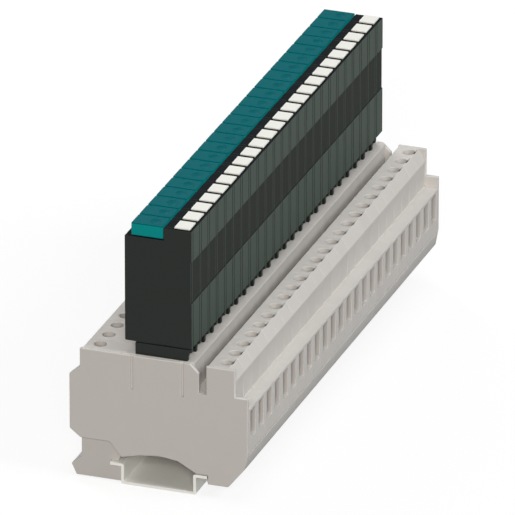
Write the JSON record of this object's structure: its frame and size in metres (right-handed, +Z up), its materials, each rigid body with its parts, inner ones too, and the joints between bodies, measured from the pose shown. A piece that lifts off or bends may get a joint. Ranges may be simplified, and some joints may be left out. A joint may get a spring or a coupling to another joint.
{
  "type": "fuse terminal block",
  "caption": "Row of rail-mounted fuse terminals with tall plug-in protection modules, reset buttons, marker tags, screw clamps, side wire entries and end covers.",
  "frame": {"origin": "middle of the rail's back, at the bottom of the row", "axes": "+X across the terminals towards the marker tags, +Y along the rail, +Z up out of the rail"},
  "size_m": [0.0642, 0.1998, 0.0969],
  "materials": {
    "housing_grey": "fine moulded matt",
    "module_black": "semi-matt moulded",
    "button_teal": "satin moulded",
    "marker_white": "matt printable",
    "rail_zinc": "zinc plated, passivated",
    "clamp_steel": "zinc plated",
    "bar_copper": "tin plated copper"
  },
  "bodies": {
    "row": {"mounting_rail": "rail_zinc", "end_cover_front": "housing_grey", "end_cover_rear": "housing_grey", "terminal_housings": "housing_grey", "clamp_sleeves": "clamp_steel", "current_bars": "bar_copper"},
    "module_01": {"plug_01": "module_black"},
    "button_01": {"reset_button_01": "button_teal"},
    "module_02": {"plug_02": "module_black"},
    "button_02": {"reset_button_02": "button_teal"},
    "module_03": {"plug_03": "module_black"},
    "button_03": {"reset_button_03": "button_teal"},
    "module_04": {"plug_04": "module_black"},
    "button_04": {"reset_button_04": "button_teal"},
    "module_05": {"plug_05": "module_black"},
    "button_05": {"reset_button_05": "button_teal"},
    "module_06": {"plug_06": "module_black"},
    "button_06": {"reset_button_06": "button_teal"},
    "module_07": {"plug_07": "module_black"},
    "button_07": {"reset_button_07": "button_teal"},
    "module_08": {"plug_08": "module_black"},
    "button_08": {"reset_button_08": "button_teal"},
    "module_09": {"plug_09": "module_black"},
    "button_09": {"reset_button_09": "button_teal"},
    "module_10": {"plug_10": "module_black"},
    "button_10": {"reset_button_10": "button_teal"},
    "module_11": {"plug_11": "module_black"},
    "button_11": {"reset_button_11": "button_teal"},
    "module_12": {"plug_12": "module_black"},
    "button_12": {"reset_button_12": "button_teal"},
    "module_13": {"plug_13": "module_black"},
    "button_13": {"reset_button_13": "button_teal"},
    "module_14": {"plug_14": "module_black"},
    "button_14": {"reset_button_14": "button_teal"},
    "module_15": {"plug_15": "module_black"},
    "button_15": {"reset_button_15": "button_teal"},
    "module_16": {"plug_16": "module_black"},
    "button_16": {"reset_button_16": "button_teal"},
    "module_17": {"plug_17": "module_black"},
    "button_17": {"reset_button_17": "button_teal"},
    "module_18": {"plug_18": "module_black"},
    "button_18": {"reset_button_18": "button_teal"},
    "module_19": {"plug_19": "module_black"},
    "button_19": {"reset_button_19": "button_teal"},
    "module_20": {"plug_20": "module_black"},
    "button_20": {"reset_button_20": "button_teal"},
    "module_21": {"plug_21": "module_black"},
    "button_21": {"reset_button_21": "button_teal"},
    "module_22": {"plug_22": "module_black"},
    "button_22": {"reset_button_22": "button_teal"},
    "module_23": {"plug_23": "module_black"},
    "button_23": {"reset_button_23": "button_teal"},
    "module_24": {"plug_24": "module_black"},
    "button_24": {"reset_button_24": "button_teal"}
  },
  "joints": [
    {"name": "module_01_pull", "type": "slide", "parent": "row", "child": "module_01", "axis": [0, 0, 1], "range_m": [0, 0.014]},
    {"name": "button_01_travel", "type": "slide", "parent": "module_01", "child": "button_01", "axis": [0, 0, 1], "range_m": [0, 0.003]},
    {"name": "module_02_pull", "type": "slide", "parent": "row", "child": "module_02", "axis": [0, 0, 1], "range_m": [0, 0.014]},
    {"name": "button_02_travel", "type": "slide", "parent": "module_02", "child": "button_02", "axis": [0, 0, 1], "range_m": [0, 0.003]},
    {"name": "module_03_pull", "type": "slide", "parent": "row", "child": "module_03", "axis": [0, 0, 1], "range_m": [0, 0.014]},
    {"name": "button_03_travel", "type": "slide", "parent": "module_03", "child": "button_03", "axis": [0, 0, 1], "range_m": [0, 0.003]},
    {"name": "module_04_pull", "type": "slide", "parent": "row", "child": "module_04", "axis": [0, 0, 1], "range_m": [0, 0.014]},
    {"name": "button_04_travel", "type": "slide", "parent": "module_04", "child": "button_04", "axis": [0, 0, 1], "range_m": [0, 0.003]},
    {"name": "module_05_pull", "type": "slide", "parent": "row", "child": "module_05", "axis": [0, 0, 1], "range_m": [0, 0.014]},
    {"name": "button_05_travel", "type": "slide", "parent": "module_05", "child": "button_05", "axis": [0, 0, 1], "range_m": [0, 0.003]},
    {"name": "module_06_pull", "type": "slide", "parent": "row", "child": "module_06", "axis": [0, 0, 1], "range_m": [0, 0.014]},
    {"name": "button_06_travel", "type": "slide", "parent": "module_06", "child": "button_06", "axis": [0, 0, 1], "range_m": [0, 0.003]},
    {"name": "module_07_pull", "type": "slide", "parent": "row", "child": "module_07", "axis": [0, 0, 1], "range_m": [0, 0.014]},
    {"name": "button_07_travel", "type": "slide", "parent": "module_07", "child": "button_07", "axis": [0, 0, 1], "range_m": [0, 0.003]},
    {"name": "module_08_pull", "type": "slide", "parent": "row", "child": "module_08", "axis": [0, 0, 1], "range_m": [0, 0.014]},
    {"name": "button_08_travel", "type": "slide", "parent": "module_08", "child": "button_08", "axis": [0, 0, 1], "range_m": [0, 0.003]},
    {"name": "module_09_pull", "type": "slide", "parent": "row", "child": "module_09", "axis": [0, 0, 1], "range_m": [0, 0.014]},
    {"name": "button_09_travel", "type": "slide", "parent": "module_09", "child": "button_09", "axis": [0, 0, 1], "range_m": [0, 0.003]},
    {"name": "module_10_pull", "type": "slide", "parent": "row", "child": "module_10", "axis": [0, 0, 1], "range_m": [0, 0.014]},
    {"name": "button_10_travel", "type": "slide", "parent": "module_10", "child": "button_10", "axis": [0, 0, 1], "range_m": [0, 0.003]},
    {"name": "module_11_pull", "type": "slide", "parent": "row", "child": "module_11", "axis": [0, 0, 1], "range_m": [0, 0.014]},
    {"name": "button_11_travel", "type": "slide", "parent": "module_11", "child": "button_11", "axis": [0, 0, 1], "range_m": [0, 0.003]},
    {"name": "module_12_pull", "type": "slide", "parent": "row", "child": "module_12", "axis": [0, 0, 1], "range_m": [0, 0.014]},
    {"name": "button_12_travel", "type": "slide", "parent": "module_12", "child": "button_12", "axis": [0, 0, 1], "range_m": [0, 0.003]},
    {"name": "module_13_pull", "type": "slide", "parent": "row", "child": "module_13", "axis": [0, 0, 1], "range_m": [0, 0.014]},
    {"name": "button_13_travel", "type": "slide", "parent": "module_13", "child": "button_13", "axis": [0, 0, 1], "range_m": [0, 0.003]},
    {"name": "module_14_pull", "type": "slide", "parent": "row", "child": "module_14", "axis": [0, 0, 1], "range_m": [0, 0.014]},
    {"name": "button_14_travel", "type": "slide", "parent": "module_14", "child": "button_14", "axis": [0, 0, 1], "range_m": [0, 0.003]},
    {"name": "module_15_pull", "type": "slide", "parent": "row", "child": "module_15", "axis": [0, 0, 1], "range_m": [0, 0.014]},
    {"name": "button_15_travel", "type": "slide", "parent": "module_15", "child": "button_15", "axis": [0, 0, 1], "range_m": [0, 0.003]},
    {"name": "module_16_pull", "type": "slide", "parent": "row", "child": "module_16", "axis": [0, 0, 1], "range_m": [0, 0.014]},
    {"name": "button_16_travel", "type": "slide", "parent": "module_16", "child": "button_16", "axis": [0, 0, 1], "range_m": [0, 0.003]},
    {"name": "module_17_pull", "type": "slide", "parent": "row", "child": "module_17", "axis": [0, 0, 1], "range_m": [0, 0.014]},
    {"name": "button_17_travel", "type": "slide", "parent": "module_17", "child": "button_17", "axis": [0, 0, 1], "range_m": [0, 0.003]},
    {"name": "module_18_pull", "type": "slide", "parent": "row", "child": "module_18", "axis": [0, 0, 1], "range_m": [0, 0.014]},
    {"name": "button_18_travel", "type": "slide", "parent": "module_18", "child": "button_18", "axis": [0, 0, 1], "range_m": [0, 0.003]},
    {"name": "module_19_pull", "type": "slide", "parent": "row", "child": "module_19", "axis": [0, 0, 1], "range_m": [0, 0.014]},
    {"name": "button_19_travel", "type": "slide", "parent": "module_19", "child": "button_19", "axis": [0, 0, 1], "range_m": [0, 0.003]},
    {"name": "module_20_pull", "type": "slide", "parent": "row", "child": "module_20", "axis": [0, 0, 1], "range_m": [0, 0.014]},
    {"name": "button_20_travel", "type": "slide", "parent": "module_20", "child": "button_20", "axis": [0, 0, 1], "range_m": [0, 0.003]},
    {"name": "module_21_pull", "type": "slide", "parent": "row", "child": "module_21", "axis": [0, 0, 1], "range_m": [0, 0.014]},
    {"name": "button_21_travel", "type": "slide", "parent": "module_21", "child": "button_21", "axis": [0, 0, 1], "range_m": [0, 0.003]},
    {"name": "module_22_pull", "type": "slide", "parent": "row", "child": "module_22", "axis": [0, 0, 1], "range_m": [0, 0.014]},
    {"name": "button_22_travel", "type": "slide", "parent": "module_22", "child": "button_22", "axis": [0, 0, 1], "range_m": [0, 0.003]},
    {"name": "module_23_pull", "type": "slide", "parent": "row", "child": "module_23", "axis": [0, 0, 1], "range_m": [0, 0.014]},
    {"name": "button_23_travel", "type": "slide", "parent": "module_23", "child": "button_23", "axis": [0, 0, 1], "range_m": [0, 0.003]},
    {"name": "module_24_pull", "type": "slide", "parent": "row", "child": "module_24", "axis": [0, 0, 1], "range_m": [0, 0.014]},
    {"name": "button_24_travel", "type": "slide", "parent": "module_24", "child": "button_24", "axis": [0, 0, 1], "range_m": [0, 0.003]}
  ]
}
